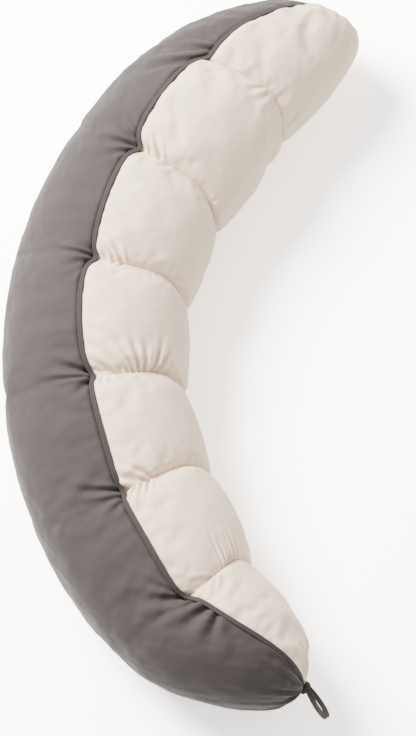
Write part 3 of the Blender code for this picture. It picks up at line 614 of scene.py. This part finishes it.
def cloth_material(name, color, dark, light, rough, sheen, tint, knit, depth, uv=True):
    """Knitted or woven cloth: fine ribs both ways, fibre noise, soft shading blotches and a sheen."""
    material, tree, shader = node_material(name)
    coordinates = tree.nodes.new("ShaderNodeTexCoord")
    source = coordinates.outputs["UV" if uv else "Object"]
    place = coordinates.outputs["Object"]
    blotch = noise(tree, place, 5.0, 4.0)
    mottle = noise(tree, place, 60.0, 4.0)
    fibre = noise(tree, place, 1400.0, 2.0)
    waves = []
    for direction in ("X", "Y"):
        wave = tree.nodes.new("ShaderNodeTexWave")
        wave.wave_type = "BANDS"
        wave.bands_direction = direction
        wave.inputs["Scale"].default_value = 2 * math.pi / (20 * knit)
        wave.inputs["Distortion"].default_value = 0.6
        wave.inputs["Detail"].default_value = 1.0
        tree.links.new(source, wave.inputs["Vector"])
        waves.append(wave.outputs["Fac"])
    weave = math_node(tree, "MULTIPLY", waves[0], waves[1])
    mixed = math_node(tree, "MULTIPLY", blotch, 0.55)
    mixed = math_node(tree, "ADD", mixed, math_node(tree, "MULTIPLY", mottle, 0.25))
    mixed = math_node(tree, "ADD", mixed, math_node(tree, "MULTIPLY", fibre, 0.20))
    ramp = tree.nodes.new("ShaderNodeValToRGB")
    ramp.color_ramp.elements[0].position = 0.30
    ramp.color_ramp.elements[1].position = 0.70
    ramp.color_ramp.elements[0].color = (*[c * dark for c in color], 1)
    ramp.color_ramp.elements[1].color = (*[min(c * light, 1) for c in color], 1)
    tree.links.new(mixed, ramp.inputs["Fac"])
    tree.links.new(ramp.outputs["Color"], shader.inputs["Base Color"])
    rise = math_node(tree, "ADD", weave, math_node(tree, "MULTIPLY", fibre, 0.8))
    bump = tree.nodes.new("ShaderNodeBump")
    bump.inputs["Strength"].default_value = 0.45
    bump.inputs["Distance"].default_value = depth
    tree.links.new(rise, bump.inputs["Height"])
    tree.links.new(bump.outputs["Normal"], shader.inputs["Normal"])
    roughness = math_node(tree, "ADD", math_node(tree, "MULTIPLY", mottle, 0.12), rough - 0.06)
    tree.links.new(roughness, shader.inputs["Roughness"])
    shader.inputs["Sheen Weight"].default_value = sheen
    shader.inputs["Sheen Roughness"].default_value = 0.35
    shader.inputs["Sheen Tint"].default_value = (*tint, 1)
    shader.inputs["Specular IOR Level"].default_value = 0.25
    return material


def coil_teeth(tree, place):
    """Ridges square to the zip, which curves about one centre."""
    parts = tree.nodes.new("ShaderNodeSeparateXYZ")
    tree.links.new(place, parts.inputs[0])
    turn = math_node(
        tree,
        "ARCTAN2",
        math_node(tree, "SUBTRACT", parts.outputs["X"], float(SHIFT[0])),
        math_node(tree, "SUBTRACT", parts.outputs["Y"], float(SHIFT[1]) - ARC_RADIUS),
    )
    ridges = math_node(tree, "MULTIPLY", turn, 2 * math.pi * ZIP_RADIUS / TOOTH_PITCH)
    return math_node(tree, "SINE", ridges, 0.0)


def hard_material(name, color, rough, metallic, scratch, teeth=False):
    material, tree, shader = node_material(name)
    place = tree.nodes.new("ShaderNodeTexCoord").outputs["Object"]
    wear = noise(tree, place, 300.0, 5.0)
    ramp = tree.nodes.new("ShaderNodeValToRGB")
    ramp.color_ramp.elements[0].position = 0.35
    ramp.color_ramp.elements[1].position = 0.75
    ramp.color_ramp.elements[0].color = (*color, 1)
    ramp.color_ramp.elements[1].color = (*[min(c * (1 + scratch), 1) for c in color], 1)
    tree.links.new(wear, ramp.inputs["Fac"])
    tree.links.new(ramp.outputs["Color"], shader.inputs["Base Color"])
    tree.links.new(
        math_node(tree, "ADD", math_node(tree, "MULTIPLY", wear, 0.25), rough - 0.1),
        shader.inputs["Roughness"],
    )
    shader.inputs["Metallic"].default_value = metallic
    bump = tree.nodes.new("ShaderNodeBump")
    bump.inputs["Strength"].default_value = 0.8 if teeth else 0.15
    bump.inputs["Distance"].default_value = 0.0004 if teeth else 0.0001
    tree.links.new(coil_teeth(tree, place) if teeth else wear, bump.inputs["Height"])
    tree.links.new(bump.outputs["Normal"], shader.inputs["Normal"])
    return material


def use(thing, material):
    thing.data.materials.clear()
    thing.data.materials.append(material)


# ------------------------------------------------------------------ the visible pieces


def zip_edge(s, side):
    closing = np.clip((np.abs(s) - ZIP_HALF) / SLOT_CLOSE, 0, 1)
    half = SLOT_HALF + (SEAM_HALF - SLOT_HALF) * closing
    return ZIP_ANGLE + side * half / AROUND


def outer_panels(material):
    stations = stations_between(tip_station(LEFT), tip_station(RIGHT), FINE, COARSE)
    top = top_seam(stations) + EDGE_ROOM / AROUND
    bottom = bottom_seam(stations) - EDGE_ROOM / AROUND
    over, under = zip_edge(stations, -1), zip_edge(stations, 1)
    upper = surface("cover_outer_upper", stations, top, over, OUTER_COUNT, "outer")
    lower = surface("cover_outer_lower", stations, under, bottom, OUTER_COUNT // 2, "outer")
    for thing, node in ((upper, "outer_panel_upper"), (lower, "outer_panel_lower")):
        use(thing, material)
        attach(thing, "cover")
        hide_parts(node)


def inner_panels(material):
    edges = [tip_station(LEFT), *SEAMS, tip_station(RIGHT)]
    for i, (low, high) in enumerate(zip(edges, edges[1:])):
        stations = stations_between(low, high, FINE, COARSE)
        under = bottom_seam(stations) - 2 * math.pi + EDGE_ROOM / AROUND
        over = top_seam(stations) - EDGE_ROOM / AROUND
        thing = surface(f"cover_inner_{i + 1}", stations, under, over, INNER_COUNT, "inner")
        use(thing, material)
        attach(thing, "cover")
        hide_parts(f"inner_panel_{i + 1}")


def end_axis(side):
    """The way an end points."""
    turns = np.linspace(0, 2 * math.pi, 24, endpoint=False)
    tip = abs(tip_station(side))
    near, far = (base_cover(side * (tip - back), turns).mean(0) for back in (0.012, 0.0))
    return unit(far - near)


def end_bindings(material):
    """The strip wound round each gathered end."""
    turns = np.linspace(0, 2 * math.pi, 28, endpoint=False)
    for name, side in (("left", LEFT), ("right", RIGHT)):
        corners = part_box(f"{name}_binding")
        middle = np.array([(a + b) / 2 for a, b in zip(*corners)])
        axis = end_axis(side)
        across = unit(np.cross(axis, (0, 0, 1)))
        up = np.cross(across, axis)
        rows = []
        for along, radius in BINDING_PROFILE:
            wrinkle = 1 + 0.035 * np.sin(7 * turns + 400 * along) + 0.02 * np.sin(13 * turns)
            ring = np.cos(turns)[:, None] * across + np.sin(turns)[:, None] * up
            rows.append(middle + axis * along + ring * (radius * wrinkle)[:, None])
        points = np.array(rows)
        faces = [face[::-1] for face in grid_faces(len(rows), len(turns), around=True)]
        close_ends(faces, len(rows), len(turns))
        uv = np.stack(np.meshgrid(turns * BINDING_ROUND, [a for a, _ in BINDING_PROFILE]), -1)
        thing = add_mesh(f"end_binding_{name}", points, faces, uv)
        use(thing, material)
        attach(thing, "cover")
        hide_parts(f"{name}_binding")


def hanging_loops(material):
    """A folded tape at each end, a little twisted as soft tape is."""
    joints = {joint["name"]: joint for joint in frame["joints"]}
    for name in ("left", "right"):
        joint = joints[f"{name}_loop_swing"]
        pivot, hinge = np.array(joint["pos_m"]), unit(np.array(joint["axis"], float))
        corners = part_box(f"{name}_loop")
        toward = np.array([(a + b) / 2 for a, b in zip(*corners)]) - pivot
        toward = unit(toward - hinge * toward.dot(hinge))
        beside = np.cross(hinge, toward)
        tilt = math.radians(LOOP_TILT[name])
        wide = hinge * math.cos(tilt) + beside * math.sin(tilt)
        beside = beside * math.cos(tilt) - hinge * math.sin(tilt)
        t = np.linspace(0.0, 2 * math.pi, 61)
        out = (LOOP_LENGTH + LOOP_ROOT) * (1 - np.cos(t)) / 2 - LOOP_ROOT
        swing = LOOP_WIDTH / 2 * np.sin(t) * np.abs(np.sin(t / 2)) ** 0.8 + 0.0009 * np.cos(t / 2)
        centre = pivot + toward * out[:, None] + beside * swing[:, None]
        ahead = unit(np.gradient(centre, axis=0))
        flat = unit(wide - ahead * (ahead @ wide)[:, None])
        thin = np.cross(ahead, flat)
        x = LOOP_TAPE / 2 * np.array([-1, -0.9, -0.45, 0, 0.45, 0.9, 1, 0.9, 0.45, 0, -0.45, -0.9])
        y = LOOP_THICK / 2 * np.array([0, -1, -0.8, -0.7, -0.8, -1, 0, 1, 0.8, 0.7, 0.8, 1])
        thing = tube(f"end_loop_{name}", centre, flat, thin, list(zip(x, y)), t * 0.02)
        use(thing, material)
        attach(thing, f"{name}_loop")
        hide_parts(f"{name}_loop")


def lining(cloth, filling):
    """The liner and the filling, which follow the cover's folds from below."""
    low, high = tip_station(LEFT) + LINER_INSET, tip_station(RIGHT) - LINER_INSET
    stations = stations_between(low, high, 0.006, 0.008)
    share = np.linspace(0, 1, 120, endpoint=False)
    s = np.repeat(stations[:, None], len(share), 1)
    angle = angle_at(s, share)
    dark, light = cover(s, angle, "outer"), cover(s, angle - 2 * math.pi, "inner")
    skin = np.where((share < 0.5)[None, :, None], dark, light)
    out = outward(s, angle)
    faces = grid_faces(len(stations), len(share), around=True)
    close_ends(faces, len(stations), len(share))
    for name, node, depth, material, slot in (
        ("liner", "inner_liner", LINER_DEPTH, cloth, "liner_cloth"),
        ("filling", "bead_filling", FILLING_DEPTH, filling, "beads"),
    ):
        points = skin - out * depth
        for _ in range(2):
            points[1:-1] = (points[:-2] + 2 * points[1:-1] + points[2:]) / 4
            points = (np.roll(points, 1, 1) + 2 * points + np.roll(points, -1, 1)) / 4
        points[..., 2] = np.maximum(points[..., 2], depth)
        uv = np.stack([s, angle * AROUND], -1)
        thing = add_mesh(name, points, faces, uv)
        use(thing, material)
        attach(thing, "cover")
        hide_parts(node)


def piping_cords(material):
    """The cords inside the piping."""
    low, high = tip_station(LEFT) + 0.002, tip_station(RIGHT) - 0.002
    stations = stations_between(low, high, 0.0025, 0.005)
    turns = np.linspace(0, 2 * math.pi, 8, endpoint=False)
    for name, seam in (("upper", top_seam), ("lower", bottom_seam)):
        centre, across, up = piping_frames(stations, seam(stations))
        for label, side in (("outer", -1), ("inner", 1)):
            middle = side * WELT_SPREAD
            ring = [(middle + CORD_RADIUS * math.cos(t), CORD_RADIUS * math.sin(t)) for t in turns]
            thing = tube(f"piping_cord_{name}_{label}", centre, across, up, ring, stations)
            use(thing, material)
            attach(thing, "cover")
            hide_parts(f"{name}_welt_cord_{label}")


def elastics(material):
    """The gathering elastic inside each cross seam."""
    x, y = ELASTIC_WIDTH / 2, ELASTIC_THICKNESS / 2
    ring = [(-x, -y), (x, -y), (x, y), (-x, y)]
    for i, seam in enumerate(SEAMS):
        start = float(bottom_seam(seam)) - 2 * math.pi + ELASTIC_ROOM
        angles = np.linspace(start, float(top_seam(seam)) - ELASTIC_ROOM, 60)
        up = outward(seam, angles)
        middle = cover(seam, angles, "inner") - up * ELASTIC_DEPTH
        ahead = unit(np.gradient(middle, axis=0))
        across = unit(np.cross(ahead, up))
        thing = tube(f"gathering_elastic_{i + 1}", middle, across, up, ring, angles * AROUND)
        use(thing, material)
        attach(thing, "cover")
        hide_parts(f"gather_elastic_{i + 1}")


def piping_frames(stations, angle):
    up = outward(stations, angle)
    centre = cover(stations, angle, "seam") - up * WELT_DEPTH
    for _ in range(2):
        centre[1:-1] = (centre[:-2] + 2 * centre[1:-1] + centre[2:]) / 4
    ahead = unit(np.gradient(centre, axis=0))
    across = unit(np.cross(ahead, up))
    return centre, across, unit(np.cross(across, ahead))


def tube(name, centre, across, up, ring, along):
    points = np.stack([centre + across * x + up * y for x, y in ring], 1)
    points[..., 2] = np.maximum(points[..., 2], 0.0003)
    faces = [face[::-1] for face in grid_faces(len(centre), len(ring), around=True)]
    close_ends(faces, len(centre), len(ring))
    steps = [0.0] + [math.dist(a, b) for a, b in zip(ring, ring[1:])]
    round_it = np.tile(np.cumsum(steps), (len(centre), 1))
    uv = np.stack([np.repeat(np.asarray(along)[:, None], len(ring), 1), round_it], -1)
    return add_mesh(name, points, faces, uv)


def welt_ring():
    """Two cords side by side under one strip of cloth, seen end on."""
    points = []
    turns = np.linspace(-2.2, 2.2, 10)
    for side, start in ((1, 0), (-1, math.pi)):
        for turn in turns + start:
            x = side * WELT_SPREAD + WELT_RADIUS * math.cos(turn)
            points.append((x, WELT_RADIUS * math.sin(turn)))
    return points


def welts(material):
    ring = welt_ring()
    for name, seam in (("upper", top_seam), ("lower", bottom_seam)):
        low, high = tip_station(LEFT) + 0.001, tip_station(RIGHT) - 0.001
        stations = stations_between(low, high, 0.0025, 0.004)
        centre, across, up = piping_frames(stations, seam(stations))
        thing = tube(f"piping_{name}", centre, across, up, ring, stations)
        use(thing, material)
        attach(thing, "cover")
        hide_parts(f"{name}_welt_cover")


# ------------------------------------------------------------------ build

FINE, COARSE = ((0.0018, 0.0048))
OUTER_COUNT, INNER_COUNT = ((130, 300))

grey_cloth = cloth_material(
    "grey_jersey",
    (0.0390, 0.0330, 0.0340),
    dark=0.90,
    light=1.10,
    rough=0.85,
    sheen=0.20,
    tint=(0.95, 0.92, 0.92),
    knit=0.0009,
    depth=0.00018,
)
cream_cloth = cloth_material(
    "cream_jersey",
    (0.76, 0.615, 0.475),
    dark=0.96,
    light=1.04,
    rough=0.88,
    sheen=0.25,
    tint=(1.0, 0.97, 0.93),
    knit=0.0009,
    depth=0.00014,
)
welt_cloth = cloth_material(
    "welt_cotton",
    (0.032, 0.027, 0.0275),
    dark=0.88,
    light=1.12,
    rough=0.80,
    sheen=0.12,
    tint=(0.95, 0.92, 0.9),
    knit=0.0006,
    depth=0.00012,
)
tape_cloth = cloth_material(
    "cotton_tape",
    (0.050, 0.045, 0.044),
    dark=0.85,
    light=1.15,
    rough=0.75,
    sheen=0.4,
    tint=(0.9, 0.9, 0.9),
    knit=0.0005,
    depth=0.00012,
    uv=False,
)
pale_cloth = cloth_material(
    "pale_cotton",
    (0.82, 0.80, 0.76),
    dark=0.92,
    light=1.05,
    rough=0.85,
    sheen=0.2,
    tint=(1, 1, 1),
    knit=0.0008,
    depth=0.0001,
    uv=False,
)
cord_cloth = cloth_material(
    "cotton_cord",
    (0.70, 0.68, 0.63),
    dark=0.92,
    light=1.05,
    rough=0.85,
    sheen=0.2,
    tint=(1, 1, 1),
    knit=0.0008,
    depth=0.0001,
)
nylon = hard_material("nylon_coil", (0.045, 0.04, 0.04), 0.40, 0.0, 0.3, teeth=True)
metal = hard_material("zip_metal", (0.14, 0.13, 0.13), 0.42, 1.0, 0.4)
beads = hard_material("bead_filling", (0.90, 0.90, 0.89), 0.70, 0.0, 0.05)

simulate()
outer_panels(grey_cloth)
inner_panels(cream_cloth)
lining(pale_cloth, beads)
welts(welt_cloth)
piping_cords(cord_cloth)
elastics(pale_cloth)
end_bindings(welt_cloth)
hanging_loops(tape_cloth)

CARRIED = {
    "care_label": pale_cloth,
    "zip_tape_upper": tape_cloth,
    "zip_tape_lower": tape_cloth,
    "zip_coil_upper": nylon,
    "zip_coil_lower": nylon,
    "zip_stop_left": metal,
    "zip_stop_right": metal,
    "zip_slider": metal,
    "zip_pull": metal,
}
for name, node in frame["nodes"].items():
    if not node.hide_render:
        use(node, CARRIED[name])


# ------------------------------------------------------------------ floor, light and camera

FLOOR_HALF, FLOOR_DROP = 40.0, 0.0006
FLOOR_SHADE, FLOOR_SEEN = 1.15, 1.7  # the second is added where the camera looks straight at it
KEY_PLACE, KEY_AIM, KEY_SIZE, KEY_POWER = (1.2, 1.6, 2.1), (0, 0, 0.1), 1.5, 400.0
KEY_COLOR = (1.0, 0.95, 0.89)
STUDIO_COLOR, STUDIO_STRENGTH = (1.0, 0.965, 0.935, 1), 1.15


def lay_floor():
    bm = bmesh.new()
    bmesh.ops.create_grid(bm, x_segments=1, y_segments=1, size=FLOOR_HALF)
    mesh = bpy.data.meshes.new("floor")
    bm.to_mesh(mesh)
    bm.free()
    floor = bpy.data.objects.new("floor", mesh)
    floor.location = (0, 0, -FLOOR_DROP)
    bpy.context.scene.collection.objects.link(floor)
    material, tree, shader = node_material("floor")
    shader.inputs["Roughness"].default_value = 0.9
    shader.inputs["Specular IOR Level"].default_value = 0.0
    seen = tree.nodes.new("ShaderNodeLightPath").outputs["Is Camera Ray"]
    shade = math_node(tree, "ADD", math_node(tree, "MULTIPLY", seen, FLOOR_SEEN), FLOOR_SHADE)
    tree.links.new(shade, shader.inputs["Base Color"])
    floor.data.materials.append(material)


def add_light(name, place, aim, size, power, color):
    light = bpy.data.lights.new(name, "AREA")
    light.shape = "DISK"
    light.size = size
    light.energy = power
    light.color = color
    thing = bpy.data.objects.new(name, light)
    thing.location = place
    thing.rotation_euler = (Vector(aim) - Vector(place)).to_track_quat("-Z", "Y").to_euler()
    bpy.context.scene.collection.objects.link(thing)


def aim_camera(azimuth, elevation, distance, roll, lens, aim):
    a, e, r = (math.radians(x) for x in (azimuth, elevation, roll))
    back = Vector((math.sin(a) * math.cos(e), -math.cos(a) * math.cos(e), math.sin(e)))
    right = Vector((0, 0, 1)).cross(back).normalized()
    up = back.cross(right)
    across = right * math.cos(r) + up * math.sin(r)
    upward = up * math.cos(r) - right * math.sin(r)
    matrix = Matrix.Identity(4)
    for column, vector in enumerate((across, upward, back)):
        matrix.col[column][:3] = vector
    matrix.col[3][:3] = Vector(aim) + back * distance
    camera = bpy.data.objects.new("camera", bpy.data.cameras.new("camera"))
    camera.data.sensor_fit = "VERTICAL"
    camera.data.sensor_height = 24.0
    camera.data.lens = lens
    camera.matrix_world = matrix
    bpy.context.scene.collection.objects.link(camera)
    bpy.context.scene.camera = camera


lay_floor()
add_light("key", KEY_PLACE, KEY_AIM, KEY_SIZE, KEY_POWER, KEY_COLOR)
world = bpy.data.worlds.new("studio")
bpy.context.scene.world = world
world.use_nodes = True
world.node_tree.nodes["Background"].inputs["Color"].default_value = STUDIO_COLOR
world.node_tree.nodes["Background"].inputs["Strength"].default_value = STUDIO_STRENGTH
aim_camera(
    azimuth=-84.84,
    elevation=77.502,
    distance=2.843,
    roll=-1.118,
    lens=61.0,
    aim=(-0.041 + SHIFT[0], -0.177 + SHIFT[1], 0.1),
)
